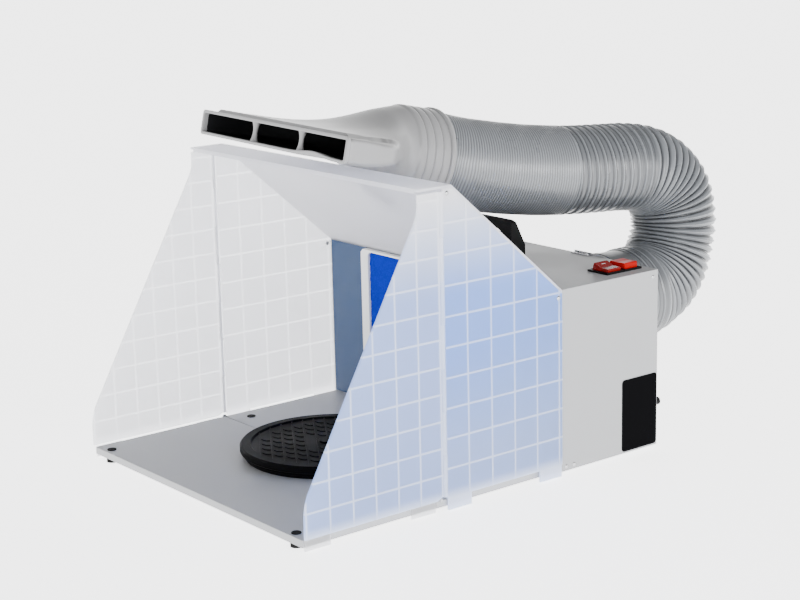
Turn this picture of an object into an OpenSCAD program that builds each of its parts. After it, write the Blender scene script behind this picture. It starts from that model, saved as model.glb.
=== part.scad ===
// Folding spray booth with a fan cabinet, extractor hose and flat suction nozzle.
// Everything is drawn from the booth's front edge backwards (+Y) and from the
// table upwards (+Z), then centred on Y by centred().

/* [Cabinet] */
// Outside width of the fan cabinet
case_w = 420; // [400:2:440]
// Depth of the fan cabinet, front to back
case_d = 152; // [148:1:158]
// Height of the fan cabinet
case_h = 208; // [206:1:212]
// Thickness of the sheet metal
metal_t = 1.2; // [1:0.1:1.4]

/* [Booth] */
// Length of the floor plate that folds up
floor_front_l = 179; // [177:1:182]
// Length of the fixed floor plate
floor_rear_l = 172; // [170:1:174]
// Height of the folded edge around a floor plate
floor_h = 8; // [7.5:0.1:8.5]
// Height of the hood's flat top above the table
hood_z = 349; // [347:1:352]
// Length of the hood's flat top
hood_flat_l = 44; // [42:1:46]
// Thickness of the frosted plastic sheets
sheet_t = 2.5; // [2.3:0.1:2.7]
// Spacing of the raised grid lines on the front leaves
leaf_grid = 29.3; // [28:0.1:30]
// Spacing of the raised grid lines on the fixed side panels
panel_grid = 32.8; // [31:0.1:33.5]

/* [Turntable] */
// Radius of the turntable plate
turntable_r = 101.5; // [98:0.5:104]
// Height of the turntable's rim above the floor
turntable_h = 15.5; // [15:0.5:18]

/* [Hose and nozzle] */
// Outside radius of the hose
hose_r = 52.5; // [51:0.5:53]
// Wall of the hose
hose_t = 2; // [1.5:0.1:2.5]
// Width of the nozzle's mouth
nozzle_w = 297; // [280:1:300]
// Height of the nozzle's mouth
nozzle_h = 25; // [23:0.5:27]
// Length of the nozzle, mouth to hose
nozzle_l = 208; // [205:1:210]

/* [Hidden] */

$fn = 64;
foot_h = 6;
floor_z = foot_h + floor_h;
case_x = case_w / 2;
case_y = floor_front_l + floor_rear_l;
back_y = case_y + case_d;
case_top = foot_h + case_h;
cuff_l = 60;
total_l = back_y + cuff_l;
eps = 0.5;

// Colours
steel_grey = [0.80, 0.80, 0.81];
floor_grey = [0.64, 0.66, 0.67];
frosted = [0.86, 0.89, 0.97, 0.7];
hose_grey = [0.52, 0.54, 0.56];
nozzle_grey = [0.74, 0.75, 0.75];
bright_steel = [0.78, 0.79, 0.80];
off_white = [0.92, 0.91, 0.88];

// Side sheets stand outside the floor and the fixed clips
floor_x = case_x - 4;
clip_t = 1.6;
sheet_x = floor_x + 3.2;
seam_gap = 0.6;

// Floor hinge, its axis just under the top of the floor
floor_axis_z = floor_z - 0.6;
stud_r = 1.5;
stud_fit = 0.05;
ear_t = 1.2;
ear_gap = 0.3;
ear_r = 2.8;

// Leaf hinges, far enough back for the raised floor to stand in front of the folded leaves
leaf_axis_x = sheet_x + sheet_t / 2;
leaf_axis_y = floor_front_l + 3;
knuckle_r = 2.6;
leaf_pin_r = 1.2;
leaf_pin_fit = 0.05;
knuckle_n = 7;
knuckle_gap = 0.4;
knuckle_z0 = floor_z + 4;
leaf_top_z = hood_z - 5.6;
hinge_gap = 2.9;
leaf_bottom_z = floor_z + 1.4;
grid_w = 3;
grid_h = 0.4;

// Outlines
hood_front_y = 152;
hood_lip = 4.6;
hood_back_y = hood_front_y + hood_flat_l;
hood_t = 2.5;
hood_screw_spots = [[hood_back_y - 6, hood_z - 8], [case_y - 5, case_top - 8]];

// Filter frame and its window
filter_x = 138;
filter_z0 = floor_z + 0.5;
filter_z1 = case_top - 3.6;
filter_t = 8;
filter_corner = 4;
window_x = 124;
window_z0 = floor_z + 10;
window_z1 = case_top - 6;

// Fan and outlet
outlet_x = 112;
outlet_z = 161;
duct_r = 49;
duct_t = 2;
duct_l = 80;
collar_r = 50;
cuff_r = 54.5;
motor_r = 22;
shaft_r = 2.5;
shaft_fit = 0.05;
blade_n = 7;
blade_r = 46;
hub_r = 20;
impeller_l = 22;
impeller_y = back_y - 44;

// Switches
switch_x = 178;
switch_y = [451.5, 479.5];
bezel_l = 32;
bezel_w = 27;
bezel_t = 2.4;
body_l = 30;
body_w = 24.6;
body_h = 20;
cavity_l = 27.6;
cavity_w = 20.6;
rocker_l = 25;
rocker_top_l = 23.6;
rocker_w = 20;
rocker_pin_r = 1.5;
rocker_fit = 0.05;
rocker_z = case_top + 1;
rocker_tilt = 12;

// Handle
handle_l = 120;
handle_y = 414;
handle_h = 49;

// Turntable
table_x = -5;
table_y = 189;
base_r = 96;
base_h = 3.2;
disc_t = turntable_h - base_h - 0.8;
disc_web = 4;
skirt_r = 90;
spindle_r = 6;
spindle_fit = 0.05;

// Feet
foot_r = 6.5;
foot_x = 184;
front_foot_y = 8.5;
rear_foot_ys = [floor_front_l + 24, back_y - 24];

// Clips that lock the side sheets over the floor's edge
clip_l = 32;
front_clip_ys = [2, 139];
rear_clip_ys = [leaf_axis_y + 4, case_y - 33];
clip_bottom = 2;

// Nozzle pose: mouth centre, then yaw and pitch of its axis
nozzle_pos = [26, 102.5, 391.5];
nozzle_yaw = -4.2;
nozzle_pitch = -12.5;
nozzle_t = 2;
nozzle_end_t = cuff_r - hose_r + hose_t;
nozzle_sides = 48;

// Route of the hose, cabinet outlet first
hose_route = [
  [112, total_l, 161], [112, 584, 163], [111, 604, 172], [109, 622, 189], [107, 634, 213],
  [106, 639, 240], [103, 635, 269], [99, 620, 291], [95, 597, 305], [90, 568, 311],
  [85, 530, 313], [79, 490, 315], [72, 450, 318.5], [65, 412, 323.5], [57, 374, 330],
  [49, 337, 337.5]
];
hose_sides = 12;

// Puts the part's middle over the origin
module centred() {
  translate([0, -total_l / 2, 0]) children();
}

module both_sides() {
  children();
  mirror([1, 0, 0]) children();
}

// A cylinder along X or Y, from its first end
module rod_x(r, l) {
  rotate([0, 90, 0]) cylinder(r = r, h = l);
}

module rod_y(r, l) {
  rotate([-90, 0, 0]) cylinder(r = r, h = l);
}

// A plate in the YZ plane, from a list of [y, z] points, l thick towards +X
module side_plate(points, l) {
  rotate([90, 0, 90]) linear_extrude(height = l) polygon(points);
}

// ---- Cabinet ----

module case_shell() {
  color(steel_grey)
  difference() {
    translate([-case_x, case_y, foot_h]) cube([case_w, case_d, case_h]);
    translate([-case_x + metal_t, case_y - eps, foot_h + metal_t])
      cube([case_w - 2 * metal_t, case_d + 2 * eps, case_h - 2 * metal_t]);
    for (y = switch_y)
      translate([switch_x - body_l / 2, y - body_w / 2, case_top - 2 * metal_t])
        cube([body_l, body_w, 4 * metal_t]);
  }
}

// Cabinet front with the filter opening
module inlet_panel() {
  color([0.45, 0.52, 0.60])
  translate([0, case_y, 0])
  difference() {
    translate([-case_x + metal_t, 0, foot_h + metal_t])
      cube([case_w - 2 * metal_t, metal_t, case_h - 2 * metal_t]);
    translate([-window_x, -eps, window_z0]) cube([2 * window_x, metal_t + 2 * eps, window_z1 - window_z0]);
  }
}

// Cabinet back with the outlet and power openings
module rear_panel() {
  color(steel_grey)
  translate([0, back_y - metal_t, 0])
  difference() {
    translate([-case_x + metal_t, 0, foot_h + metal_t])
      cube([case_w - 2 * metal_t, metal_t, case_h - 2 * metal_t]);
    translate([outlet_x, -eps, outlet_z]) rod_y(collar_r, metal_t + 2 * eps);
    translate([200, -eps, 54]) rod_y(4, metal_t + 2 * eps);
  }
}

// Outline from z0 to z1, x to each side of the middle, with its corners cut
module filter_outline(x, z0, z1) {
  c = filter_corner;
  polygon([
    [-x + c, z0], [x - c, z0], [x, z0 + c], [x, z1 - c],
    [x - c, z1], [-x + c, z1], [-x, z1 - c], [-x, z0 + c]
  ]);
}

module filter_frame() {
  color(off_white)
  translate([0, case_y, 0]) rotate([90, 0, 0]) linear_extrude(height = filter_t)
  difference() {
    filter_outline(filter_x, filter_z0, filter_z1);
    filter_outline(window_x, window_z0, window_z1);
  }
}

module filter_pad() {
  color([0.02, 0.22, 0.80])
  translate([0, case_y - 1, 0]) rotate([90, 0, 0]) linear_extrude(height = filter_t - 2)
    filter_outline(window_x, window_z0, window_z1);
}

// ---- Fan ----

module fan_duct() {
  color([0.16, 0.16, 0.17])
  translate([outlet_x, back_y - metal_t - duct_l, outlet_z])
  difference() {
    rod_y(duct_r, duct_l);
    translate([0, -eps, 0]) rod_y(duct_r - duct_t, duct_l + 2 * eps);
  }
}

// Motor body on three struts, its shaft hole towards the front
module fan_motor() {
  motor_y = impeller_y + impeller_l + 1;
  color([0.30, 0.31, 0.33])
  translate([outlet_x, 0, outlet_z]) {
    difference() {
      translate([0, motor_y, 0]) rod_y(motor_r, back_y - 2 - motor_y);
      translate([0, motor_y - eps, 0]) rod_y(shaft_r + shaft_fit, 15 + eps);
    }
    for (a = [30, 150, 270])
      rotate([0, a, 0]) translate([motor_r - 1, motor_y + 4, -2]) cube([duct_r - duct_t - motor_r + 1, 10, 4]);
  }
}

module motor_shaft() {
  color(bright_steel)
  translate([outlet_x, impeller_y + 2, outlet_z]) rod_y(shaft_r, impeller_l + 13);
}

module fan_impeller() {
  color([0.10, 0.10, 0.11])
  translate([outlet_x, impeller_y, outlet_z])
  difference() {
    union() {
      rod_y(hub_r, impeller_l);
      for (i = [0 : blade_n - 1])
        rotate([0, i * 360 / blade_n, 0]) translate([hub_r - 2, impeller_l / 2, 0]) rotate([38, 0, 0])
          translate([0, -impeller_l / 2 + 1, -1]) cube([blade_r - hub_r + 2, impeller_l - 2, 2]);
    }
    translate([0, 2, 0]) rod_y(shaft_r, impeller_l);
  }
}

// ---- Outlet, hose and nozzle ----

module exhaust_collar() {
  color(steel_grey)
  translate([outlet_x, back_y, outlet_z])
  difference() {
    union() {
      rod_y(collar_r + 5, 2);
      rod_y(collar_r, 28);
    }
    translate([0, -eps, 0]) rod_y(collar_r - 1.5, 28 + 2 * eps);
  }
}

// Folded steel tab with two rivets, on the cabinet's top rear edge
module collar_clip() {
  l = 29;
  w = 7;
  color(bright_steel)
  translate([75, back_y - w, case_top]) {
    cube([l, w, metal_t]);
    translate([0, w - metal_t, 0]) cube([l, metal_t, 3]);
    for (x = [5, l - 5])
      translate([x, w / 2 - 0.6, 0]) cylinder(r = 1.8, h = metal_t + 0.6);
  }
}

module hose_cuff() {
  color(nozzle_grey)
  translate([outlet_x, back_y + 2, outlet_z])
  difference() {
    union() {
      rod_y(cuff_r, cuff_l - 2);
      translate([0, 2, 0]) rod_y(cuff_r + 1, 5);
    }
    translate([0, -eps, 0]) rod_y(collar_r, cuff_l);
  }
}

function unit(v) = v / norm(v);

// Direction of the route at point i
function route_dir(p, i) =
  let (last = len(p) - 1, a = p[max(i - 1, 0)], b = p[min(i + 1, last)]) unit(b - a);

// Ring of n points of radius r around c, square to d, first point towards +X
function ring_about(c, d, r, n) =
  let (u = unit(cross([0, d[2], -d[1]], d)), v = cross(d, u))
  [for (k = [0 : n - 1]) c + r * (cos(360 * k / n) * u + sin(360 * k / n) * v)];

// Faces between ring a and ring b of n points; flip turns them inside out
function band(a, b, n, flip) =
  [for (k = [0 : n - 1])
    let (j = (k + 1) % n, q = [a * n + k, a * n + j, b * n + j, b * n + k])
    each flip ? [[q[2], q[1], q[0]], [q[3], q[2], q[0]]] : [[q[0], q[1], q[2]], [q[0], q[2], q[3]]]];

function join(lists) = [for (l = lists) for (e = l) e];

// A hollow skin through matching outer and inner rings
module hollow_skin(outer, inner, n) {
  m = len(outer);
  points = concat(join(outer), join(inner));
  faces = concat(
    join([for (i = [0 : m - 2]) band(i, i + 1, n, false)]),
    join([for (i = [0 : m - 2]) band(m + i, m + i + 1, n, true)]),
    band(m, 0, n, false),
    band(m - 1, 2 * m - 1, n, false)
  );
  polyhedron(points = points, faces = faces, convexity = 6);
}

module exhaust_hose() {
  n = hose_sides;
  route = concat(hose_route, [nozzle_point([0, nozzle_l, 0])]);
  last = len(route) - 1;
  dirs = [for (i = [0 : last]) i == 0 ? [0, 1, 0] : i == last ? -nozzle_axis() : route_dir(route, i)];
  color(hose_grey)
  hollow_skin(
    [for (i = [0 : last]) ring_about(route[i], dirs[i], hose_r, n)],
    [for (i = [0 : last]) ring_about(route[i], dirs[i], hose_r - hose_t, n)],
    n
  );
}

// Nozzle axes: across its mouth, along it towards the hose, and up
function nozzle_axis() =
  [-sin(nozzle_yaw) * cos(nozzle_pitch), cos(nozzle_yaw) * cos(nozzle_pitch), sin(nozzle_pitch)];
function nozzle_across() = [cos(nozzle_yaw), sin(nozzle_yaw), 0];
function nozzle_point(p) =
  let (a = nozzle_axis(), w = nozzle_across(), h = cross(w, a))
  nozzle_pos + p[0] * w + p[1] * a + p[2] * h;

function smooth(t) = let (c = min(max(t, 0), 1)) c * c * (3 - 2 * c);

// Half width, half height and squareness of the nozzle at distance s from its mouth;
// its underside swells later than its top, to clear the hood
function nozzle_half_w(s) =
  let (shoulder = nozzle_w / 2 - 5 * smooth(s / 60))
  shoulder + (cuff_r - nozzle_w / 2 + 5) * smooth((s - 52) / 104);
function nozzle_half_h(s, above) =
  let (t = above ? (s - 30) / 136 : (s - 68) / 104)
  nozzle_h / 2 + (cuff_r - nozzle_h / 2) * pow(smooth(t), 1.6);
function nozzle_wall(s) = nozzle_t + (nozzle_end_t - nozzle_t) * smooth((s - 120) / 60);
function nozzle_power(s) = 2 / (2 + 8 * (1 - smooth((s - 20) / 130)));

// Rounded-box ring of the nozzle at distance s, drawn in by t
function signed_pow(v, p) = sign(v) * pow(abs(v), p);
function nozzle_ring(s, t) =
  let (w = nozzle_half_w(s) - t, p = nozzle_power(s))
  [for (k = [0 : nozzle_sides - 1])
    let (a = 360 * k / nozzle_sides, h = nozzle_half_h(s, a < 180) - t)
    nozzle_point([w * signed_pow(cos(a), p), s, h * signed_pow(sin(a), p)])];

module nozzle() {
  stations = [0, 16, 32, 46, 58, 70, 82, 94, 106, 118, 130, 142, 154, 168, 184, nozzle_l];
  color(nozzle_grey) {
    hollow_skin(
      [for (s = stations) nozzle_ring(s, 0)],
      [for (s = stations) nozzle_ring(s, nozzle_wall(s))],
      nozzle_sides
    );
    for (x = [-nozzle_w * 0.135, nozzle_w * 0.185])
      nozzle_post(x);
  }
}

// Post that keeps the nozzle's mouth open
module nozzle_post(x) {
  half = nozzle_h / 2 - nozzle_t / 2;
  translate(nozzle_point([x, 5, -half]))
    rotate([nozzle_pitch, 0, nozzle_yaw]) cylinder(r = 3.4, h = 2 * half);
}

// ---- Fittings ----

// Bridge handle, upright at the front and sloped at the back
module carry_handle() {
  y0 = handle_y;
  z0 = case_top;
  color([0.05, 0.05, 0.055])
  difference() {
    translate([-handle_l / 2, 0, 0])
      side_plate([
        [y0, z0], [y0 + 22, z0], [y0 + 22, z0 + 17], [y0 + 8, z0 + handle_h - 4],
        [y0 + 5, z0 + handle_h - 1], [y0 + 2, z0 + handle_h], [y0, z0 + handle_h - 1]
      ], handle_l);
    translate([-handle_l / 2 + 17, y0 - eps, z0 - eps]) cube([handle_l - 34, 24, 26]);
    translate([-handle_l / 2 + 27, y0 - eps, z0]) cube([handle_l - 54, 24, handle_h - 13]);
    for (x = [-1, 1])
      translate([x * (handle_l / 2 - 27), y0 - eps, z0 + 26]) rod_y(10, 24);
    for (x = [-1, 1], z = [z0 + handle_h + 8])
      translate([x * (handle_l / 2 + 8), y0 - eps, z]) rotate([0, x * 45, 0])
        translate([-8, 0, -14]) cube([16, 24, 12]);
  }
}

module rating_label() {
  h = 85;
  l = 56;
  r = 4;
  color([0.04, 0.04, 0.045])
  translate([case_x, back_y - l - 1, foot_h + 2]) {
    translate([0, r, 0]) cube([0.5, l - 2 * r, h]);
    translate([0, 0, r]) cube([0.5, l, h - 2 * r]);
    for (y = [r, l - r], z = [r, h - r])
      translate([0, y, z]) rod_x(r, 0.5);
  }
}

module power_inlet() {
  color([0.05, 0.05, 0.05])
  translate([200, back_y, 54])
  difference() {
    union() {
      translate([0, -metal_t - 12, 0]) rod_y(4, 12 + metal_t + 12);
      rod_y(6.2, 2.5);
      translate([0, 2.5, 0]) rod_y(4.6, 9.5);
    }
    translate([0, 4, 0]) rod_y(2.8, 9);
  }
}

// Snap-in switch surround with bearings for a rocker
module switch_bezel(y) {
  color([0.05, 0.05, 0.05])
  translate([switch_x, y, case_top])
  difference() {
    union() {
      translate([-bezel_l / 2, -bezel_w / 2, 0]) cube([bezel_l, bezel_w, bezel_t]);
      translate([-body_l / 2, -body_w / 2, -body_h]) cube([body_l, body_w, body_h + 1]);
    }
    translate([-cavity_l / 2, -cavity_w / 2, -body_h + 2]) cube([cavity_l, cavity_w, body_h + 3]);
    translate([0, -cavity_w / 2 - 1.2, rocker_z - case_top - 4]) rod_y(rocker_pin_r + rocker_fit, cavity_w + 2.4);
  }
}

module switch_bezel_fan() { switch_bezel(switch_y[0]); }
module switch_bezel_aux() { switch_bezel(switch_y[1]); }

// Rocker about its own pin; dip hollows its top between the two pads
module rocker(y, tilt, dip) {
  half = rocker_l / 2;
  top = rocker_top_l / 2;
  color([0.75, 0.04, 0.03])
  translate([switch_x, y, rocker_z - 4]) rotate([0, tilt, 0]) {
    translate([0, rocker_w / 2, 0]) rotate([90, 0, 0]) linear_extrude(height = rocker_w)
      polygon([
        [-half, -2], [-8, -7], [8, -7], [half, -2],
        [top, 10.5], [top - 1, 11.5], [0, 11.5 - dip], [1 - top, 11.5], [-top, 10.5]
      ]);
    translate([0, -rocker_w / 2 - 1, 0]) rod_y(rocker_pin_r, rocker_w + 2);
  }
}

module rocker_fan() { rocker(switch_y[0], rocker_tilt, 2); }
module rocker_aux() { rocker(switch_y[1], 0, 0.4); }

// A domed screw head pointing along +X
module screw_head(r) {
  intersection() {
    rod_x(r, r);
    translate([-r * 0.75, 0, 0]) sphere(r = r * 1.25);
  }
}

module case_screws() {
  color(bright_steel)
  both_sides()
    for (p = [[case_y + 8, foot_h + 5], [case_y + 20, foot_h + 5], [back_y - 8, case_top - 8]])
      translate([case_x, p[0], p[1]]) screw_head(2.4);
}

// ---- Floor ----

// Folded plate between y0 and y1; its open underside faces down
module floor_plate(y0, y1) {
  difference() {
    translate([-floor_x, y0, foot_h]) cube([2 * floor_x, y1 - y0, floor_h]);
    translate([-floor_x + metal_t, y0 + metal_t, foot_h - eps])
      cube([2 * (floor_x - metal_t), y1 - y0 - 2 * metal_t, floor_h - metal_t + eps]);
  }
}

module foot_holes(ys) {
  for (x = [-foot_x, foot_x], y = ys)
    translate([x, y, 0]) cylinder(r = 3, h = floor_z + eps);
}

module floor_rear() {
  y0 = floor_front_l + seam_gap;
  color(floor_grey)
  difference() {
    floor_plate(y0, case_y);
    foot_holes([rear_foot_ys[0]]);
    both_sides()
      translate([floor_x - 4, y0 - eps, foot_h - eps]) cube([5, 2.6 + eps, floor_h + 2 * eps]);
  }
}

module floor_front() {
  color(floor_grey)
  difference() {
    floor_plate(0, floor_front_l - seam_gap);
    foot_holes([front_foot_y]);
  }
}

// Ears on the fixed plate that carry the folding plate's studs
module hinge_ears() {
  color([0.28, 0.28, 0.30])
  both_sides()
  difference() {
    union() {
      translate([floor_x + ear_gap, floor_front_l - 7, foot_h])
        cube([ear_t, 18, floor_axis_z - foot_h]);
      translate([floor_x + ear_gap, floor_front_l, floor_axis_z]) rod_x(ear_r, ear_t);
      translate([floor_x, floor_front_l + 4, foot_h + 1]) cube([ear_gap + ear_t, 6, 4]);
    }
    translate([floor_x - 1, floor_front_l, floor_axis_z]) rod_x(stud_r + stud_fit, 4);
  }
}

module hinge_studs() {
  color(bright_steel)
  both_sides()
    translate([floor_x - 2.6, floor_front_l, floor_axis_z]) rod_x(stud_r, 4.6);
}

// Push-in rubber foot with a flat head above the plate
module foot(x, y, top) {
  translate([x, y, 0]) {
    cylinder(r = foot_r, h = top - metal_t);
    cylinder(r = 3, h = top);
    translate([0, 0, top]) cylinder(r = 5.3, h = 1);
  }
}

module feet_front() {
  color([0.03, 0.03, 0.03])
  for (x = [-foot_x, foot_x])
    foot(x, front_foot_y, floor_z);
}

module feet_rear() {
  color([0.03, 0.03, 0.03])
  for (x = [-foot_x, foot_x]) {
    foot(x, rear_foot_ys[0], floor_z);
    translate([x, rear_foot_ys[1], 0]) cylinder(r = foot_r, h = foot_h);
  }
}

// Clips of the folding floor plate, fixed to its sides
module floor_clips() {
  color(frosted)
  both_sides()
    for (y = front_clip_ys) {
      translate([floor_x, y, clip_bottom]) cube([clip_t, clip_l, floor_z - clip_bottom]);
      translate([floor_x - 3, y + 6, clip_bottom]) cube([3 + eps, clip_l - 12, foot_h - clip_bottom]);
    }
}

// ---- Hood and side sheets ----

module hood() {
  z = hood_z;
  drop_y = case_y - hood_back_y;
  drop_z = hood_z - case_top;
  slope_l = norm([drop_y, drop_z]);
  // vertical depth of the sloped sheet, and where its underside meets the flat one
  v = hood_t * slope_l / drop_y;
  shift = (v - hood_t) * drop_y / drop_z;
  color([0.93, 0.94, 0.96, 0.8]) {
    translate([-sheet_x - sheet_t, 0, 0])
      side_plate([
        [hood_front_y, z], [hood_back_y, z], [case_y, case_top], [case_y, case_top - v],
        [hood_back_y - shift, z - hood_t], [hood_front_y, z - hood_t]
      ], 2 * (sheet_x + sheet_t));
    translate([-floor_x, hood_front_y, z - hood_lip]) cube([2 * floor_x, 2, hood_lip - hood_t + eps]);
  }
}

module hood_screws() {
  color(bright_steel)
  both_sides()
    for (p = hood_screw_spots)
      translate([sheet_x + sheet_t, p[0], p[1]]) screw_head(2.6);
}

// Raised lines on the outside of a sheet, kept inside its outline
module grid_lines(y0, y1, step_y, z0, z1, step_z) {
  x = sheet_x + sheet_t - eps;
  for (y = [y0 : step_y : y1])
    translate([x, y - grid_w / 2, z0 - step_z]) cube([grid_h + eps, grid_w, z1 - z0 + 2 * step_z]);
  for (z = [z0 : step_z : z1])
    translate([x, y0 - step_y, z - grid_w / 2]) cube([grid_h + eps, y1 - y0 + 2 * step_y, grid_w]);
}

// Every other knuckle of a leaf hinge, first = 0 or 1
module knuckles(first) {
  pitch = (leaf_top_z - knuckle_z0) / knuckle_n;
  for (i = [first : 2 : knuckle_n - 1])
    translate([leaf_axis_x, leaf_axis_y, knuckle_z0 + i * pitch])
      cylinder(r = knuckle_r, h = pitch - knuckle_gap);
}

// Webs that tie the knuckles to their sheet, towards +Y or -Y
module knuckle_webs(first, side) {
  pitch = (leaf_top_z - knuckle_z0) / knuckle_n;
  for (i = [first : 2 : knuckle_n - 1])
    translate([sheet_x, leaf_axis_y + (side > 0 ? 0 : -hinge_gap - eps), knuckle_z0 + i * pitch])
      cube([sheet_t, hinge_gap + eps, pitch - knuckle_gap]);
}

module panel_outline() {
  roof = hood_t * 1.33;
  y0 = leaf_axis_y + hinge_gap;
  polygon([
    [y0, leaf_bottom_z], [case_y, leaf_bottom_z], [case_y, case_top - roof],
    [hood_back_y - 1, hood_z - hood_t], [y0, hood_z - hood_t]
  ]);
}

module side_panel() {
  color(frosted)
  difference() {
    union() {
      translate([sheet_x, 0, 0]) rotate([90, 0, 90]) linear_extrude(height = sheet_t) panel_outline();
      intersection() {
        translate([sheet_x, 0, 0]) rotate([90, 0, 90]) linear_extrude(height = sheet_t + grid_h) panel_outline();
        difference() {
          grid_lines(leaf_axis_y + 33, case_y, panel_grid, 48, hood_z, panel_grid);
          for (p = hood_screw_spots)
            translate([sheet_x + sheet_t, p[0], p[1]]) rod_x(4, 2);
        }
      }
      for (y = rear_clip_ys) {
        translate([sheet_x, y, clip_bottom]) cube([sheet_t, clip_l, leaf_bottom_z - clip_bottom + eps]);
        translate([floor_x - 3, y + 6, clip_bottom]) cube([sheet_x - floor_x + 3 + eps, clip_l - 12, foot_h - clip_bottom]);
      }
      knuckles(0);
      knuckle_webs(0, 1);
    }
    translate([leaf_axis_x, leaf_axis_y, knuckle_z0 - eps]) cylinder(r = leaf_pin_r, h = hood_z);
  }
}

module side_panel_right() { side_panel(); }
module side_panel_left() { mirror([1, 0, 0]) side_panel(); }

// Quarter-round corner points, from angle a0 to a1 about c
function arc_points(c, r, a0, a1, n) =
  [for (k = [0 : n]) let (a = a0 + (a1 - a0) * k / n) c + r * [cos(a), sin(a)]];

module leaf_outline() {
  y1 = leaf_axis_y - hinge_gap;
  polygon(concat(
    [[y1, leaf_bottom_z + 4], [y1 - 8, leaf_bottom_z], [0, leaf_bottom_z]],
    arc_points([70, 34], 70, 180, 157, 6),
    arc_points([hood_front_y - 40, 333], 40, -23, 0, 5),
    [[hood_front_y, leaf_top_z], [y1, leaf_top_z]]
  ));
}

module side_leaf() {
  color(frosted)
  difference() {
    union() {
      translate([sheet_x, 0, 0]) rotate([90, 0, 90]) linear_extrude(height = sheet_t) leaf_outline();
      intersection() {
        translate([sheet_x, 0, 0]) rotate([90, 0, 90]) linear_extrude(height = sheet_t + grid_h) leaf_outline();
        grid_lines(leaf_axis_y - 33.6 - 4 * leaf_grid, leaf_axis_y - 30, leaf_grid, 42.5, leaf_top_z, leaf_grid);
      }
      knuckles(1);
      knuckle_webs(1, -1);
    }
    translate([leaf_axis_x, leaf_axis_y, knuckle_z0 - eps])
      cylinder(r = leaf_pin_r + leaf_pin_fit, h = hood_z);
  }
}

module side_leaf_right() { side_leaf(); }
module side_leaf_left() { mirror([1, 0, 0]) side_leaf(); }

module leaf_pin() {
  color(bright_steel)
  translate([leaf_axis_x, leaf_axis_y, knuckle_z0])
    cylinder(r = leaf_pin_r, h = leaf_top_z - knuckle_z0);
}

module leaf_pin_right() { leaf_pin(); }
module leaf_pin_left() { mirror([1, 0, 0]) leaf_pin(); }

// ---- Turntable ----

module turntable_base() {
  color([0.04, 0.04, 0.045])
  translate([table_x, table_y, floor_z])
  difference() {
    cylinder(r = base_r, h = base_h);
    translate([0, 0, -eps]) cylinder(r = spindle_r, h = base_h + 2 * eps);
  }
}

// Spindle with a thrust collar that the plate turns on
module turntable_spindle() {
  web_z = turntable_h - 2 - disc_web;
  color(bright_steel)
  translate([table_x, table_y, floor_z]) {
    cylinder(r = spindle_r, h = turntable_h - 3);
    translate([0, 0, base_h]) cylinder(r = 14, h = web_z - base_h - 0.1);
  }
}

// Plate with a skirt, a raised rim, straight ribs and a boss; hollow underneath
module turntable_disc() {
  z = turntable_h - disc_t;
  face = disc_t - 2;
  web = face - disc_web;
  color([0.05, 0.05, 0.055])
  translate([table_x, table_y, floor_z + z])
  difference() {
    union() {
      rotate_extrude($fn = 128)
        polygon([
          [0, web], [skirt_r - 3, web], [skirt_r, 0], [turntable_r - 3, 0], [turntable_r - 3, 3],
          [turntable_r - 1, 3], [turntable_r, 4], [turntable_r, disc_t - 2], [turntable_r - 2, disc_t],
          [turntable_r - 12, disc_t], [turntable_r - 14, face], [0, face]
        ]);
      intersection() {
        cylinder(r = turntable_r - 12, h = disc_t);
        for (i = [-6 : 6])
          rotate([0, 0, -33]) translate([-turntable_r, i * 13 - 0.8, face - 1]) cube([2 * turntable_r, 1.6, 2]);
      }
      translate([0, 0, web]) cylinder(r = 11, h = disc_t - web);
    }
    translate([0, 0, web - eps]) cylinder(r = spindle_r + spindle_fit, h = disc_web + 2 * eps);
    translate([0, 0, web]) cylinder(r = 1.5, h = disc_t);
  }
}

centred() case_shell();
centred() inlet_panel();
centred() rear_panel();
centred() filter_frame();
centred() filter_pad();
centred() fan_duct();
centred() fan_motor();
centred() motor_shaft();
centred() fan_impeller();
centred() exhaust_collar();
centred() collar_clip();
centred() hose_cuff();
centred() exhaust_hose();
centred() nozzle();
centred() carry_handle();
centred() rating_label();
centred() power_inlet();
centred() switch_bezel_fan();
centred() switch_bezel_aux();
centred() rocker_fan();
centred() rocker_aux();
centred() case_screws();
centred() floor_rear();
centred() floor_front();
centred() hinge_ears();
centred() hinge_studs();
centred() feet_rear();
centred() feet_front();
centred() floor_clips();
centred() hood();
centred() hood_screws();
centred() side_panel_right();
centred() side_panel_left();
centred() side_leaf_right();
centred() side_leaf_left();
centred() leaf_pin_right();
centred() leaf_pin_left();
centred() turntable_base();
centred() turntable_spindle();
centred() turntable_disc();
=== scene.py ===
"""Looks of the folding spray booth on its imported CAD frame.

Sizes are in millimetres as in the part's source, measured right of the booth's middle,
behind the floor's front edge and above the table; row() turns them into the row frame.
"""

import math

import bmesh
import bpy
from mathutils import Matrix, Vector, noise


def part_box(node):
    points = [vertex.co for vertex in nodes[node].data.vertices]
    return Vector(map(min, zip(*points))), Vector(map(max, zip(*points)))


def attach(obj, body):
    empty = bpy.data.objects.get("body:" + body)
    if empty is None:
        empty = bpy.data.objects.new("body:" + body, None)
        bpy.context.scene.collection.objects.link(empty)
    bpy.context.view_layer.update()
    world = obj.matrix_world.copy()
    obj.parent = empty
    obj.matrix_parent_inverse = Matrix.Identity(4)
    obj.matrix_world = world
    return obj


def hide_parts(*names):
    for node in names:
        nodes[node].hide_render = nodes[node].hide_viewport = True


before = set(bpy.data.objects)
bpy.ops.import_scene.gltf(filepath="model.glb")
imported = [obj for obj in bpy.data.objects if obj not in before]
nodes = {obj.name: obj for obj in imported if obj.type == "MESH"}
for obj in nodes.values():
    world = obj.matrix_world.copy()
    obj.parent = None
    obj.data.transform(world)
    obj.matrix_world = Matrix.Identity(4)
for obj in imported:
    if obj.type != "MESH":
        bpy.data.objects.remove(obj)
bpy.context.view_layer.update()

MM = 0.001
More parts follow.
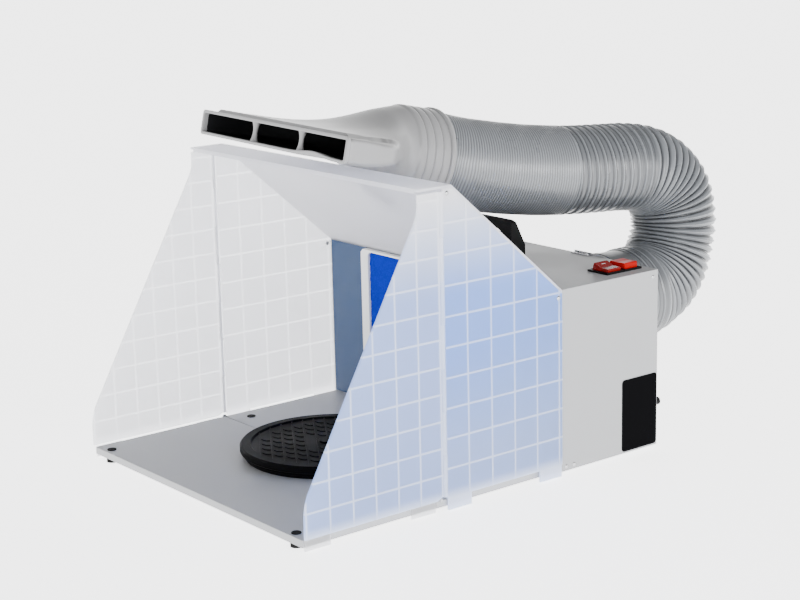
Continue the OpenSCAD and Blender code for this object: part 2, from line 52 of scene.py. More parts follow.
BOOTH_L = 563  # floor's front edge to the end of the hose's cuff
FLOOR_Z = 14
LEAF_AXIS_Y = 182


def row(x, y, z):
    """A point in the row frame, in metres."""
    return Vector((x, y - BOOTH_L / 2, z)) * MM


def smooth(t):
    """Rises from 0 at t = 0 to 1 at t = 1, with level ends."""
    t = min(max(t, 0), 1)
    return t * t * (3 - 2 * t)


# ---- Camera ----

CAMERA_AZIMUTH = 50.85
CAMERA_ELEVATION = 13.15
CAMERA_ROLL = -1.14
CAMERA_PLACE = (1.5972, -1.2507, 0.6547)
LENS = 81.18
SHIFT = (-0.0311, -0.0031)


def make_camera():
    """The view that the object is shown from."""
    a, e, roll = (math.radians(v) for v in (CAMERA_AZIMUTH, CAMERA_ELEVATION, CAMERA_ROLL))
    right = Vector((math.cos(a), math.sin(a), 0))
    ahead = Vector((-math.sin(a) * math.cos(e), math.cos(a) * math.cos(e), -math.sin(e)))
    up = right.cross(ahead)
    axes = (
        math.cos(roll) * right + math.sin(roll) * up,
        -math.sin(roll) * right + math.cos(roll) * up,
        -ahead,
    )
    data = bpy.data.cameras.new("camera")
    data.sensor_width = 36
    data.lens = LENS
    data.shift_x, data.shift_y = SHIFT
    camera = bpy.data.objects.new("camera", data)
    camera.matrix_world = Matrix.Translation(CAMERA_PLACE) @ Matrix(axes).transposed().to_4x4()
    bpy.context.scene.collection.objects.link(camera)
    bpy.context.scene.camera = camera


# ---- Meshes ----


def piece(name, points, faces, body, materials, sharp=35, indices=None):
    """A mesh piece that rides on a body. Edges sharper than sharp degrees stay sharp."""
    mesh = bpy.data.meshes.new(name)
    mesh.from_pydata([tuple(p) for p in points], [], faces)
    for m in materials:
        mesh.materials.append(m)
    if indices:
        mesh.polygons.foreach_set("material_index", indices)
    shape = bmesh.new()
    shape.from_mesh(mesh)
    bmesh.ops.recalc_face_normals(shape, faces=shape.faces)
    shape.to_mesh(mesh)
    shape.free()
    mesh.polygons.foreach_set("use_smooth", [True] * len(mesh.polygons))
    mesh.set_sharp_from_angle(angle=math.radians(sharp))
    mesh.update()
    obj = bpy.data.objects.new(name, mesh)
    bpy.context.scene.collection.objects.link(obj)
    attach(obj, body)
    return obj


def bands(rings, n, closed_ends=False):
    """Quads between each ring of n points and the next."""
    faces = [
        (i * n + k, i * n + (k + 1) % n, (i + 1) * n + (k + 1) % n, (i + 1) * n + k)
        for i in range(rings - 1)
        for k in range(n)
    ]
    if closed_ends:
        faces += [tuple(range(n))[::-1], tuple((rings - 1) * n + k for k in range(n))]
    return faces


# ---- Materials ----


class Graph:
    """Short calls for building a node material."""

    def __init__(self, name):
        self.material = bpy.data.materials.new(name)
        self.material.use_nodes = True
        self.tree = self.material.node_tree
        self.tree.nodes.clear()
        self.place = self.add("ShaderNodeTexCoord").outputs["Object"]

    def add(self, kind, _inputs=None, **settings):
        node = self.tree.nodes.new(kind)
        for key, value in settings.items():
            setattr(node, key, value)
        for key, value in (_inputs or {}).items():
            self.put(node.inputs[key], value)
        return node

    def put(self, socket, value):
        if isinstance(value, bpy.types.NodeSocket):
            self.tree.links.new(value, socket)
        elif socket.type == "RGBA":
            socket.default_value = (*value, 1)
        else:
            socket.default_value = value

    def math(self, operation, a, b=0.0):
        return self.add("ShaderNodeMath", {0: a, 1: b}, operation=operation).outputs[0]

    def noise(self, scale, detail=2.0, place=None):
        inputs = {"Vector": place or self.place, "Scale": scale, "Detail": detail}
        return self.add("ShaderNodeTexNoise", inputs).outputs["Fac"]

    def spread(self, value, low, high, start=0.3, end=0.7):
        inputs = {"Value": value, "From Min": start, "From Max": end, "To Min": low, "To Max": high}
        return self.add("ShaderNodeMapRange", inputs).outputs["Result"]

    def mix(self, factor, a, b):
        node = self.add("ShaderNodeMix", data_type="RGBA")
        self.put(node.inputs["Factor"], factor)
        self.put(node.inputs[6], a)
        self.put(node.inputs[7], b)
        return node.outputs[2]

    def bump(self, height, distance, normal=None):
        inputs = {"Height": height, "Distance": distance}
        if normal:
            inputs["Normal"] = normal
        return self.add("ShaderNodeBump", inputs).outputs["Normal"]

    def shade(self, shader):
        out = self.add("ShaderNodeOutputMaterial")
        self.tree.links.new(shader, out.inputs["Surface"])
        return self.material


def tinted(colour, share):
    """The colour made darker or lighter by a share."""
    return tuple(c * share for c in colour)


def solid(
    name, colour, rough, vary, grain=1500, depth=0.02, metallic=0.0, coat=0.0, edge=0.0, gloss=0.5
):
    """Paint, plastic, rubber or metal: mottled colour, fine grain and uneven gloss.

    vary is the mottling's share of the colour, depth the grain's height in millimetres, and edge the
    radius that light sees on corners."""
    g = Graph(name)
    cloud = g.noise(14, 3)
    fine = g.noise(grain, 2)
    base = g.mix(g.spread(cloud, 0, 1), tinted(colour, 1 - vary), tinted(colour, 1 + vary))
    base = g.mix(g.spread(fine, 0, 0.35), base, tinted(colour, 1 - 2 * vary))
    rounded = None
    if edge:
        rounded = g.add("ShaderNodeBevel", {"Radius": edge * MM}, samples=4).outputs["Normal"]
    shader = g.add(
        "ShaderNodeBsdfPrincipled",
        {
            "Base Color": base,
            "Roughness": g.spread(cloud, rough * 0.88, min(rough * 1.12, 1)),
            "Normal": g.bump(fine, depth * MM, normal=rounded),
            "Metallic": metallic,
            "Specular IOR Level": gloss,
            "Coat Weight": coat,
            "Coat Roughness": 0.2,
        },
    )
    return g.shade(shader.outputs["BSDF"])


GRID_LINE_W = 2.2


def grid_lines(g, first_y, first_z, pitch):
    """1 on the sheet's grid lines, hinge and foot, and 0 between them."""
    axes = g.add("ShaderNodeSeparateXYZ", {"Vector": g.place}).outputs
    near = []
    for value, first in ((axes["Y"], row(0, first_y, 0).y), (axes["Z"], first_z * MM)):
        turns = g.math("DIVIDE", g.math("SUBTRACT", value, first), pitch * MM)
        off = g.math("ABSOLUTE", g.math("SUBTRACT", g.math("FRACT", g.math("ADD", turns, 0.5)), 0.5))
        half = GRID_LINE_W / 2 / pitch
        near.append(g.spread(off, 1, 0, half * 0.6, half * 1.3))
    from_hinge = g.math("ABSOLUTE", g.math("SUBTRACT", axes["Y"], row(0, LEAF_AXIS_Y, 0).y))
    hinge = g.spread(from_hinge, 1, 0, 2.6 * MM, 3.6 * MM)
    foot = g.spread(axes["Z"], 1, 0, 15 * MM, 26 * MM)
    return g.math("MAXIMUM", g.math("MAXIMUM", *near), g.math("MAXIMUM", hinge, foot))


def frosted(name, tint, lines=None, clear=0.34, low=None, top=None, line_share=0.35):
    """Milky sheet that light passes through and shapes blur behind; clear is how much shows.

    low and top are painted light: colours painted on the sheet near the floor and the hood,
    and line_share how much shows through its lines."""
    g = Graph(name)
    cloud = g.noise(9, 2)
    fine = g.noise(700, 3)
    colour = g.mix(g.spread(cloud, 0, 1), tinted(tint, 0.97), tint)
    height = g.add("ShaderNodeSeparateXYZ", {"Vector": g.place}).outputs["Z"]
    # painted light: the colour changes with height, towards low near the floor and top near the hood
    if low:
        colour = g.mix(g.spread(height, 0, 1, 0.06, 0.17), low, colour)
    if top:
        colour = g.mix(g.spread(height, 0, 1, 0.235, 0.34), colour, top)
    normal = g.bump(fine, 0.015 * MM)
    see_through = clear
    if lines:
        mask = grid_lines(g, *lines)
        colour = g.mix(g.math("MULTIPLY", mask, 0.6), colour, (0.97, 0.975, 1.0))
        see_through = g.spread(mask, clear, clear * line_share, 0, 1)
    milky = g.add(
        "ShaderNodeBsdfPrincipled",
        {
            "Base Color": colour,
            "Roughness": g.spread(fine, 0.34, 0.46),
            "Normal": normal,
            "Specular IOR Level": 0.45,
        },
    )
    glow = g.add("ShaderNodeBsdfTranslucent", {"Color": colour, "Normal": normal})
    blur = g.add(
        "ShaderNodeBsdfPrincipled",
        {
            "Base Color": colour,
            "Roughness": 0.5,
            "Transmission Weight": 1.0,
            "IOR": 1.2,
            "Normal": normal,
        },
    )
    soft = g.add("ShaderNodeMixShader", {0: 0.55, 1: milky.outputs[0], 2: glow.outputs[0]})
    shader = g.add("ShaderNodeMixShader", {0: see_through, 1: soft.outputs[0], 2: blur.outputs[0]})
    return g.shade(shader.outputs[0])


def ribbed_painted_shade(name, crest, groove):
    """Corrugated plastic with painted shade: darker in its grooves, by the mesh's rib attribute, and
    darker on faces that point down.
    """
    g = Graph(name)
    cloud = g.noise(14, 3)
    fine = g.noise(1300, 2)
    height = g.add("ShaderNodeAttribute", attribute_name="rib").outputs["Fac"]
    # painted shade: the grooves take the dark groove colour and the crests the lit crest colour
    base = g.mix(g.spread(height, 0, 1, 0.15, 0.85), groove, crest)
    base = g.mix(g.spread(cloud, 0, 0.12), base, tinted(crest, 0.8))
    # painted shade: faces that point down are mixed towards the groove colour, as the shade under the
    # hose
    facing = g.add("ShaderNodeNewGeometry").outputs["Normal"]
    up = g.add("ShaderNodeSeparateXYZ", {"Vector": facing}).outputs["Z"]
    base = g.mix(g.spread(up, 0.62, 0, -0.85, -0.15), base, groove)
    shader = g.add(
        "ShaderNodeBsdfPrincipled",
        {
            "Base Color": base,
            "Roughness": g.spread(cloud, 0.25, 0.32),
            "Normal": g.bump(fine, 0.012 * MM),
            "Specular IOR Level": 0.7,
        },
    )
    return g.shade(shader.outputs["BSDF"])


def fibre_mat(name, colour):
    """Loose crossed threads, with lighter and darker clumps."""
    g = Graph(name)
    upright, lying = (
        g.add("ShaderNodeVectorMath", {0: g.place, 1: scale}, operation="MULTIPLY").outputs[0]
        for scale in ((1, 3, 0.35), (0.35, 3, 1))
    )
    threads = g.math("MAXIMUM", g.noise(900, 4, upright), g.noise(900, 4, lying))
    clumps = g.noise(120, 4)
    base = g.mix(g.spread(threads, 0, 1, 0.45, 0.75), tinted(colour, 0.62), tinted(colour, 1.15))
    base = g.mix(g.spread(clumps, 0, 0.4), base, tinted(colour, 0.75))
    height = g.math("ADD", threads, clumps)
    shader = g.add(
        "ShaderNodeBsdfPrincipled",
        {
            "Base Color": base,
            "Roughness": g.spread(threads, 0.8, 0.95),
            "Specular IOR Level": 0.1,
            "Normal": g.bump(height, 1.2 * MM),
        },
    )
    return g.shade(shader.outputs["BSDF"])


make_camera()

steel_paint = solid(
    "cabinet_paint", (0.30, 0.304, 0.312), 0.45, 0.02, grain=1100, edge=1.2, gloss=0.3
)
floor_paint = solid(
    "floor_paint", (0.34, 0.345, 0.355), 0.42, 0.05, grain=1100, depth=0.05, edge=1.0, gloss=0.3
)
inner_paint = solid(
    "inner_paint", (0.034, 0.066, 0.145), 0.45, 0.04, grain=1400, edge=0.8, gloss=0.3
)
nozzle_plastic = solid(
    "nozzle_plastic", (0.215, 0.215, 0.219), 0.34, 0.02, grain=1600, depth=0.012, gloss=0.4
)
# painted shade: the shell's inner walls past the lip are coloured near-black, for the shade deep in
# the mouth
inside_painted_shade = solid(
    "nozzle_inside_painted_shade", (0.006, 0.006, 0.007), 0.6, 0.2, grain=900, depth=0.03, gloss=0.1
)
# a hose-like grey made darker than the hose, with painted shade from the hose and case around the
# cuff
hose_grey = solid("hose_grey", (0.10, 0.105, 0.11), 0.36, 0.02, grain=1600, depth=0.012)
# the second colour is painted shade, for the hose's grooves and underside
hose_plastic = ribbed_painted_shade("hose_plastic", (0.165, 0.176, 0.19), (0.010, 0.011, 0.013))
black_plastic = solid(
    "black_plastic", (0.003, 0.003, 0.0035), 0.42, 0.15, grain=1800, depth=0.03, edge=0.8, gloss=0.08
)
turntable_plastic = solid(
    "turntable_plastic", (0.0016, 0.0016, 0.002), 0.5, 0.15, edge=0.5, gloss=0.03
)
label_film = solid(
    "label_film", (0.0015, 0.0015, 0.002), 0.55, 0.2, grain=2200, depth=0.01, gloss=0.01
)
rubber = solid("rubber", (0.006, 0.006, 0.006), 0.7, 0.2, grain=1200, depth=0.06, edge=0.6, gloss=0.1)
bright_steel = solid(
    "bright_steel", (0.42, 0.42, 0.43), 0.22, 0.04, grain=2500, depth=0.006, metallic=1.0
)
motor_metal = solid(
    "motor_metal", (0.05, 0.05, 0.055), 0.5, 0.1, grain=900, depth=0.05, metallic=0.5
)
rocker_dark = solid(
    "rocker_dark_red", (0.17, 0.004, 0.003), 0.22, 0.06, grain=900, depth=0.006, coat=0.1, edge=0.8,
    gloss=0.2,
)
rocker_bright = solid(
    "rocker_bright_red", (0.36, 0.001, 0.0), 0.3, 0.04, grain=900, depth=0.006, edge=0.8, gloss=0.04
)
mark_white = solid("mark_white", (0.6, 0.6, 0.6), 0.5, 0.03)
off_white = solid("off_white_moulding", (0.88, 0.88, 0.85), 0.45, 0.03, edge=0.8)
blue_mat = fibre_mat("blue_fibre", (0.0, 0.022, 0.45))

# painted light: the right sheets are tinted blue, a painted reflection of the blue filter and
# surroundings; the left sheets keep the plain white
DEEP_PAINTED_BLUE = (0.33, 0.51, 0.92)
PALE_WHITE = (0.905, 0.908, 0.922)
PALE_PAINTED_BLUE = (0.46, 0.58, 0.87)
WHITE = (0.93, 0.93, 0.945)
LEAF_GRID = (LEAF_AXIS_Y - 33.6, 42.5, 29.3)  # a line's y, a line's z and the spacing
PANEL_GRID = (LEAF_AXIS_Y + 33, 48, 32.8)
# the right sheets: painted blue light, grading to white near the hood
leaf_painted_blue = frosted("leaf_sheet_right_painted_blue", PALE_PAINTED_BLUE, LEAF_GRID, top=WHITE)
panel_painted_blue = frosted("panel_sheet_right_painted_blue", DEEP_PAINTED_BLUE, PANEL_GRID, clear=0.38, low=PALE_PAINTED_BLUE, top=WHITE)
leaf_white = frosted("leaf_sheet_left", PALE_WHITE, LEAF_GRID, clear=0.46, line_share=1.55)
panel_white = frosted("panel_sheet_left", PALE_WHITE, PANEL_GRID, clear=0.46, line_share=1.6)
clip_sheet = frosted("clip_sheet", WHITE)
hood_sheet = frosted("hood_sheet", (0.90, 0.90, 0.93))

NODE_MATERIALS = {
    steel_paint: ("case_shell", "rear_panel", "exhaust_collar"),
    floor_paint: ("floor_rear", "floor_front", "hinge_ears"),
    inner_paint: ("inlet_panel",),
    off_white: ("filter_frame",),
    black_plastic: (
        "carry_handle", "power_inlet", "switch_bezel_fan", "switch_bezel_aux", "fan_duct",
        "fan_impeller",
    ),
    turntable_plastic: ("turntable_base", "turntable_disc"),
    rubber: ("feet_front", "feet_rear"),
    bright_steel: (
        "motor_shaft", "collar_clip", "case_screws", "hood_screws", "hinge_studs",
        "turntable_spindle",
    ),
    motor_metal: ("fan_motor",),
    hose_grey: ("hose_cuff",),
    label_film: ("rating_label",),
    rocker_dark: ("rocker_fan",),
    rocker_bright: ("rocker_aux",),
    clip_sheet: ("floor_clips", "leaf_pin_right", "leaf_pin_left"),
    hood_sheet: ("hood",),
    leaf_painted_blue: ("side_leaf_right",),
    panel_painted_blue: ("side_panel_right",),
    leaf_white: ("side_leaf_left",),
    panel_white: ("side_panel_left",),
}
for finish, names in NODE_MATERIALS.items():
    for name in names:
        nodes[name].data.materials.clear()
        nodes[name].data.materials.append(finish)


# ---- Nozzle ----

NOZZLE_PLACE = (26, 102.5, 391.5)
NOZZLE_YAW = -4.2
NOZZLE_PITCH = -12.5
NOZZLE_W = 297
NOZZLE_H = 25
NOZZLE_L = 208
NOZZLE_T = 2.2
CUFF_R = 54.5
CUFF_RIB = 1.5
RIBS_FROM, RIBS_TO, RIB_PITCH = 158, 202, 11  # the cuff's ribs, behind the mouth
POSTS = (-0.135, 0.185)  # shares of the mouth's width
QUADRANT = (4, 9, 20)  # points on a side's half, a corner and a top's half


def nozzle_point(x, s, z):
    """A point x across the nozzle, s behind its mouth and z above its axis, in the row frame."""
    yaw, pitch = math.radians(NOZZLE_YAW), math.radians(NOZZLE_PITCH)
    level = math.cos(pitch)
    axis = Vector((-math.sin(yaw) * level, math.cos(yaw) * level, math.sin(pitch)))
    across = Vector((math.cos(yaw), math.sin(yaw), 0))
    return row(*(Vector(NOZZLE_PLACE) + x * across + s * axis + z * across.cross(axis)))


def cuff_rib(s):
    """Depth of the nozzle's skin under the tops of its cuff's rounded ribs."""
    if s > RIBS_TO:
        return CUFF_RIB * smooth((s - RIBS_TO) / 1.5) - CUFF_RIB
    along = ((s - RIBS_FROM) / RIB_PITCH) % 1
    rib = smooth((s - 156) / 6) * (1 - abs(2 * along - 1) ** 5) if s > RIBS_FROM else 0
    return CUFF_RIB * (rib - smooth((s - 128) / 20))


def lip_bead(s):
    """Swelling of the mouth's lip, with a shallow groove behind it."""
    return 1.3 * (1 - smooth((s - 3) / 2)) - 0.7 * math.exp(-(((s - 6.3) / 1.2) ** 2))


def nozzle_quarter(half_w, half_h, corner, round_share):
    """A quarter of an outline, from its side to just before its top."""
    side, bend, top = QUADRANT
    quarter = []
    for k in range(sum(QUADRANT)):
        if k < side:
            box = (half_w, (half_h - corner) * k / side)
        elif k < side + bend:
            a = math.pi / 2 * (k - side) / bend
            box = (half_w - corner + corner * math.cos(a), half_h - corner + corner * math.sin(a))
        else:
            box = ((half_w - corner) * (1 - (k - side - bend) / top), half_h)
        a = math.pi / 2 * k / sum(QUADRANT)
        oval = (half_w * math.cos(a), half_h * math.sin(a))
        quarter.append(tuple(b + (o - b) * round_share for b, o in zip(box, oval)))
    return quarter


def nozzle_ring(s, inset):
    """Outline of the nozzle s behind its mouth: a flat box that turns into a round cuff.

    The mouth's frame stands proud of the top and bottom, and its lower edge is dented at one end."""
    half_w = NOZZLE_W / 2 - 5 * smooth(s / 60)
    half_w += (CUFF_R - NOZZLE_W / 2 + 5) * smooth((s - 52) / 104)
    rib = cuff_rib(s) + lip_bead(s) if inset == 0 else 0
    upper, lower = (
        NOZZLE_H / 2 + (CUFF_R - NOZZLE_H / 2) * smooth(t) ** 1.6 - inset + rib
        for t in ((s - 30) / 136, (s - 68) / 104)
    )
    half_w += rib - inset
    corner, round_share = max(4 - inset, 1), smooth((s - 24) / 112)
    over, under = (nozzle_quarter(half_w, h, corner, round_share) for h in (upper, lower))
    ring = list(over)
    ring += [(-x, z) for x, z in [(0, upper), *over[:0:-1]]]
    ring += [(-x, -z) for x, z in under]
    ring += [(x, -z) for x, z in [(0, lower), *under[:0:-1]]]
    step = smooth((s - 14) / 0.9) * (1 - smooth((s - 50) / 60))
    points = []
    for x, z in ring:
        edge = smooth((NOZZLE_W / 2 - 14 - abs(x + 6)) / 4)
        lift = (4.2 if z > 0 else -2.2) * step * edge * smooth(abs(z) / (NOZZLE_H / 2) * 4 - 3)
        dent = 3.2 * math.exp(-(((x - 88) / 26) ** 2)) * smooth(1 - s / 40) if z < 0 else 0
        points.append(nozzle_point(x, s, z + lift + dent))
    return points


def make_nozzle():
    """The nozzle's hollow shell, from the cuff over the outside and back through the mouth."""
    outer = [NOZZLE_L, 206, 204, 203, 202, 201]
    outer += [200 - 1.0 * k for k in range(45)]
    outer += [154 - 4 * k for k in range(34)]
    outer += [19, 16, 15, 14.8, 14.5, 14.2, 13.9, 13, 10]
    outer += [8.5, 7.5, 6.8, 6.2, 5.5, 4.6, 3.8, 2.5, 1.2, 0.4]
    lip = [(0, 0.5), (0, 1.2), (0.4, 1.9)]
    inner = [2, 6, 12, 25, 45, 65, 85, 105, 125, 145, 165, 185, NOZZLE_L]
    rings = [nozzle_ring(s, 0) for s in outer]
    rings += [nozzle_ring(s, t) for s, t in lip]
    rings += [nozzle_ring(s, NOZZLE_T + 1.8 * smooth((s - 120) / 60)) for s in inner]
    n = len(rings[0])
    # rings past the lip get the painted shade colour
    shade_from = len(outer) + len(lip) + 1
    last = (len(rings) - 1) * n
    faces = bands(len(rings), n) + [(last + k, last + (k + 1) % n, (k + 1) % n, k) for k in range(n)]
    indices = [int(i // n >= shade_from and i // n < len(rings) - 1) for i in range(len(faces))]
    points = [p for ring in rings for p in ring]
    finishes = (nozzle_plastic, inside_painted_shade)
    shell = piece("nozzle_shell", points, faces, "base", finishes, 40, indices)
    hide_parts("nozzle")
    for label, share in zip(("left", "right"), POSTS):
        make_post(f"nozzle_post_{label}", share * NOZZLE_W)


def make_post(name, x):
    """Waisted post that keeps the mouth open."""
    half = NOZZLE_H / 2 - 1.2
    behind_mouth = 6.2
    rows, sides = 13, 20
    points = []
    for i in range(rows):
        t = 2 * i / (rows - 1) - 1
        radius = 2.6 + 2.8 * abs(t) ** 2.2
        for k in range(sides):
            a = 2 * math.pi * k / sides
            s = behind_mouth + radius * 0.9 * math.sin(a)
            points.append(nozzle_point(x + radius * math.cos(a), s, half * t))
    piece(name, points, bands(rows, sides, True), "base", (nozzle_plastic,), 50)


# ---- Hose ----

HOSE_ROUTE = [
    (112, 520, 161), (112, 563, 161), (112, 584, 163), (111, 604, 172), (109, 622, 189),
    (107, 634, 213), (106, 639, 240), (103, 635, 269), (99, 620, 291), (95, 597, 305),
    (90, 568, 311), (85, 530, 313), (79, 490, 315), (72, 450, 318.5), (65, 412, 323.5),
    (57, 374, 330), (49, 337, 337.5),
]
HOSE_R = 52.5
FINE_PITCH = 3.3
COARSE_PITCH = 12.2
FINE_DEPTH = 0.8
COARSE_DEPTH = 3.2
FOLD_DEPTH = 7  # where the hose is folded up in its bend
ON_CUFF_DEPTH = 1.6
ON_CUFF_SWELL = 3.8  # where the hose is pushed over its cuff
HIDDEN_L = 17  # start of the hose, inside the cuff
FINE_TO_Y = 471  # the closely ribbed stretch runs from the nozzle to here
BEND_TOP_Z = 250  # and stays above this
RING_STEP = 0.8
HOSE_SIDES = 72


def curve_through(points, step):
    """Points about step apart on a smooth curve through the given ones."""
    ends = [points[0] * 2 - points[1], *points, points[-1] * 2 - points[-2]]
    line = []
    for a, b, c, d in zip(ends, ends[1:], ends[2:], ends[3:]):
        count = max(int((c - b).length / step), 1)
        for i in range(count):
            t = i / count
            square, cube = 2 * a - 5 * b + 4 * c - d, 3 * b - a - 3 * c + d
            line.append(0.5 * (2 * b + (c - a) * t + square * t**2 + cube * t**3))
    return line + [points[-1]]


def rib_height(phase, fine, bent):
    """Share of the rib's height, phase ribs along; bent is 1 where the hose is folded up."""
    along = phase % 1
    if fine:
        return 0.5 + 0.5 * math.cos(2 * math.pi * along)
    off = abs(along - 0.5)
    bead, groove = math.exp(-((off / 0.09) ** 2)), math.exp(-(((off - 0.21) / 0.07) ** 2))
    beaded = 0.5 + 0.5 * bead - 0.34 * groove
    folded = 0.7 * smooth((0.5 - off) / 0.22) + 0.3 * math.exp(-((off / 0.11) ** 2))
    return beaded + (folded - beaded) * bent


def make_hose():
    """The corrugated hose and the points of its centreline."""
    ends = [nozzle_point(0, s, 0) / MM + Vector((0, BOOTH_L / 2, 0)) for s in (NOZZLE_L, 178)]
    line = curve_through([Vector(p) for p in HOSE_ROUTE] + ends, RING_STEP)
    count = len(line)
    dirs = [(line[min(i + 4, count - 1)] - line[max(i - 4, 0)]).normalized() for i in range(count)]
    points, heights, phase = [], [], 0.0
    for i, (place, way) in enumerate(zip(line, dirs)):
        before, after = dirs[max(i - 12, 0)], dirs[min(i + 12, count - 1)]
        span = RING_STEP * (min(i + 12, count - 1) - max(i - 12, 0))
        bend = (after - before).length / span
        fine = place.y < FINE_TO_Y and place.z > BEND_TOP_Z
        bent = smooth(bend * 75)
        pitch = FINE_PITCH if fine else COARSE_PITCH * (1 + 0.2 * bent) / (1 + bend * HOSE_R)
        phase += (line[i] - line[i - 1]).length / pitch if i else 0
        on_cuff = smooth((70 - i * RING_STEP) / 24)
        depth = FINE_DEPTH if fine else COARSE_DEPTH + (FOLD_DEPTH - COARSE_DEPTH) * bent
        depth += (ON_CUFF_DEPTH - depth) * on_cuff
        swell = ON_CUFF_SWELL * on_cuff * smooth((i * RING_STEP - HIDDEN_L) / 2.5)
        side = way.cross(Vector((0, -way.z, way.y))).normalized()
        over = side.cross(way)
        for k in range(HOSE_SIDES):
            a = 2 * math.pi * k / HOSE_SIDES
            height = rib_height(phase + k / HOSE_SIDES, fine, bent)
            # these heights drive the hose's painted groove shade; the fine ribs' grooves are painted
            # less dark
            heights.append(0.3 + 0.7 * height if fine else height)
            radius = HOSE_R + swell - depth * (1 - height)
            outwards = math.cos(a) * side + math.sin(a) * over
            points.append(row(*(place + radius * outwards)))
    faces = bands(count, HOSE_SIDES)
    hose = piece("hose_corrugated", points, faces, "base", (hose_plastic,), 180)
    hose.data.attributes.new("rib", "FLOAT", "POINT").data.foreach_set("value", heights)
    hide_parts("exhaust_hose")
    return hose, [tuple(row(*p)) for p in line]


def make_cuff_ring():
    """The turned-over end of the nozzle's cuff, which holds the hose."""
    profile = [(-1.2, 201), (0.9, 201.6), (1.7, 203), (1.7, 206), (1, 207.6)]
    profile += [(-1, 208.3), (-2.2, 207.6), (-2.4, 201)]
    points, sides = [], 96
    for outside, s in [*profile, profile[0]]:
        for k in range(sides):
            r, a = CUFF_R + outside, 2 * math.pi * k / sides
            points.append(nozzle_point(r * math.cos(a), s, r * math.sin(a)))
    faces = bands(len(profile) + 1, sides)
    return piece("nozzle_cuff_ring", points, faces, "base", (nozzle_plastic,), 60)


make_nozzle()
hose, hose_line = make_hose()
make_cuff_ring()


# ---- Filter mat ----

FILTER_CORNER = 4


def make_filter_mat():
    """A fibre mat with an uneven face and soft edges, in the window of its frame."""
    low, high = (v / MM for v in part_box("filter_pad"))
    cells_x, cells_z = 110, 82
    points, faces = [], []
    for j in range(cells_z + 1):
        for i in range(cells_x + 1):
            x = low.x + (high.x - low.x) * i / cells_x
            z = low.z + (high.z - low.z) * j / cells_z
            from_side, from_end = min(x - low.x, high.x - x), min(z - low.z, high.z - z)
            inward = min(from_side, from_end)
            cut = max(FILTER_CORNER - from_side - from_end, 0) / 2
            x += math.copysign(cut, (low.x + high.x) / 2 - x)
            z += math.copysign(cut, (low.z + high.z) / 2 - z)
            fluff = noise.noise(Vector((x, 0, z)) * 0.35)
            fluff += 0.6 * noise.noise(Vector((x, 9, z)) * 0.9)
            y = low.y + 1.6 * (1 - smooth(inward / 4)) + 0.7 + 0.6 * fluff
            points.append(Vector((x, y, z)) * MM)
    width = cells_x + 1
    for j in range(cells_z):
        for i in range(cells_x):
            a = j * width + i
            faces.append((a, a + 1, a + width + 1, a + width))
    rim = list(range(width))
    rim += [j * width + cells_x for j in range(1, cells_z + 1)]
    rim += [cells_z * width + i for i in range(cells_x - 1, -1, -1)]
    rim += [j * width for j in range(cells_z - 1, 0, -1)]
    back = len(points)
    for i in rim:
        points.append(Vector((points[i].x, high.y * MM, points[i].z)))
    n = len(rim)
    faces += [(rim[(k + 1) % n], rim[k], back + k, back + (k + 1) % n) for k in range(n)]
    faces.append(tuple(back + k for k in range(n))[::-1])
    mat = piece("filter_mat", points, faces, "base", (blue_mat,), 60)
    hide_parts("filter_pad")


make_filter_mat()


# ---- Turntable relief ----

TURNTABLE = (-5, 189)
TURNTABLE_TURN = -33  # degrees that the straight ribs are turned
TURNTABLE_FACE_Z = FLOOR_Z + 13.5
RELIEF_R = 86
HUB_HALF = 17  # half width of the plain square round the middle
ROW_PITCH = 13
PAD_PITCH = 17


def make_relief():
    """Slanted, curved pads between the turntable's straight ribs."""
    turn = math.radians(TURNTABLE_TURN)
    points, faces = [], []
    steps = 6
    profile = ((-4.2, 0.0), (-3.2, 0.9), (3.2, 0.9), (4.2, 0.0))
    for line in range(-7, 7):
        v0 = line * ROW_PITCH + 1.6
        for pad in range(-6, 7):
            u0 = (pad + 0.5 * (line % 2)) * PAD_PITCH
            arc = []
            for i in range(steps):
                t = i / (steps - 1)
                u = u0 + 7 * (t - 0.5) + 2.5 * math.sin(math.pi * t)
                arc.append((u, v0 + (ROW_PITCH - 3.2) * t))
            over_rim = any(math.hypot(abs(u) + 4, v) > RELIEF_R for u, v in arc)
            if over_rim or any(max(abs(u) - 4, abs(v)) < HUB_HALF for u, v in arc):
                continue
            for (ua, va), (ub, vb) in zip(arc, arc[1:]):
                first = len(points)
                for u, v in ((ua, va), (ub, vb)):
                    for across, z in profile:
                        x = (u + across) * math.cos(turn) - v * math.sin(turn)
                        y = (u + across) * math.sin(turn) + v * math.cos(turn)
                        points.append(row(TURNTABLE[0] + x, TURNTABLE[1] + y, TURNTABLE_FACE_Z + z))
                faces += [(first + k, first + k + 1, first + k + 5, first + k + 4) for k in range(3)]
    finishes = (turntable_plastic,)
    piece("turntable_relief", points, faces, "turntable_top", finishes, 30)


make_relief()


# ---- Switch marks ----

SWITCH = (178, 451.5, 211)  # the fan rocker's pin
ROCKER_TILT = 12
ROCKER_TOP = 9.5  # height of the rocker's middle above its pin
ROCKER_DIP = 2 / 10.8  # slope of the rocker's two pads


def rocker_point(u, v):
    """A point on the fan rocker's top, u across and v back from its pin."""
    tilt = math.radians(ROCKER_TILT)
    z = ROCKER_TOP + ROCKER_DIP * abs(u) + 0.06
    across = u * math.cos(tilt) + z * math.sin(tilt)
    up = z * math.cos(tilt) - u * math.sin(tilt)
    return row(SWITCH[0] + across, SWITCH[1] + v, SWITCH[2] + up)


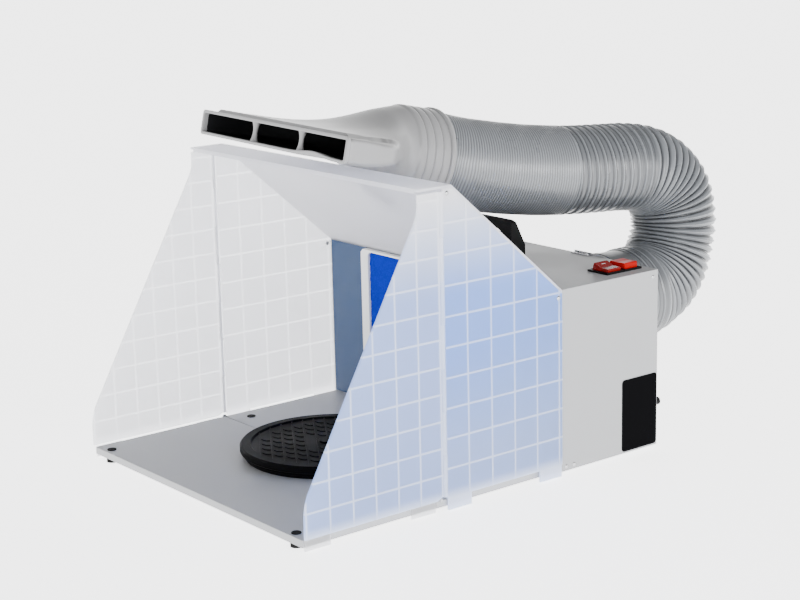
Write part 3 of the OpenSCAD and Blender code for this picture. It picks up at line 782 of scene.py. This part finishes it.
def make_marks():
    """A bar on the rocker's near pad and a ring on its far pad."""
    bar = [rocker_point(-6.2 + u, v) for u, v in ((-0.45, -3), (0.45, -3), (0.45, 3), (-0.45, 3))]
    piece("mark_on", bar, [(0, 1, 2, 3)], "fan_switch", (mark_white,))
    n = 32
    ring = [
        rocker_point(6 + r * 0.8 * math.cos(2 * math.pi * k / n), r * math.sin(2 * math.pi * k / n))
        for r in (2.2, 3)
        for k in range(n)
    ]
    piece("mark_off", ring, bands(2, n), "fan_switch", (mark_white,))


make_marks()


# ---- Stage and light ----

TABLE_GLOW = 3.2
WALL_LIGHT = 4.2
ROOF_LIGHT = 0.6


def make_stage():
    """A pale table that glows a little, as one lit from below does."""
    half = 40
    corners = [(-half, -half, 0), (half, -half, 0), (half, half, 0), (-half, half, 0)]
    mesh = bpy.data.meshes.new("floor")
    mesh.from_pydata(corners, [], [(0, 1, 2, 3)])
    g = Graph("studio_floor")
    table = g.add(
        "ShaderNodeBsdfPrincipled",
        {
            "Base Color": (0.85, 0.85, 0.86),
            "Roughness": 0.8,
            "Specular IOR Level": 0.1,
            "Emission Color": (1.0, 1.0, 1.0),
            "Emission Strength": TABLE_GLOW,
        },
    )
    mesh.materials.append(g.shade(table.outputs["BSDF"]))
    floor = bpy.data.objects.new("floor", mesh)
    bpy.context.scene.collection.objects.link(floor)


def make_walls():
    """Surrounding light, bright at eye level and dimmer overhead."""
    world = bpy.data.worlds.new("studio")
    world.use_nodes = True
    tree = world.node_tree
    place = tree.nodes.new("ShaderNodeTexCoord")
    axes = tree.nodes.new("ShaderNodeSeparateXYZ")
    fade = tree.nodes.new("ShaderNodeMapRange")
    tree.links.new(place.outputs["Generated"], axes.inputs["Vector"])
    tree.links.new(axes.outputs["Z"], fade.inputs["Value"])
    limits = {"From Min": 0.1, "From Max": 0.55, "To Min": WALL_LIGHT, "To Max": ROOF_LIGHT}
    for key, value in limits.items():
        fade.inputs[key].default_value = value
    tree.links.new(fade.outputs["Result"], tree.nodes["Background"].inputs["Strength"])
    tree.nodes["Background"].inputs["Color"].default_value = (1, 1, 1, 1)
    bpy.context.scene.world = world


def area_light(name, place, aim, size, power):
    """A rectangular light of that size in metres and power in watts, turned to a point."""
    data = bpy.data.lights.new(name, "AREA")
    data.shape = "RECTANGLE"
    data.size, data.size_y = size
    data.energy = power
    light = bpy.data.objects.new(name, data)
    light.location = place
    light.rotation_mode = "QUATERNION"
    light.rotation_quaternion = (Vector(aim) - Vector(place)).to_track_quat("-Z", "Y")
    bpy.context.scene.collection.objects.link(light)


make_stage()
make_walls()
area_light("key", (2.3, -0.3, 0.7), (0, 0, 0.2), (1.0, 0.8), 34)
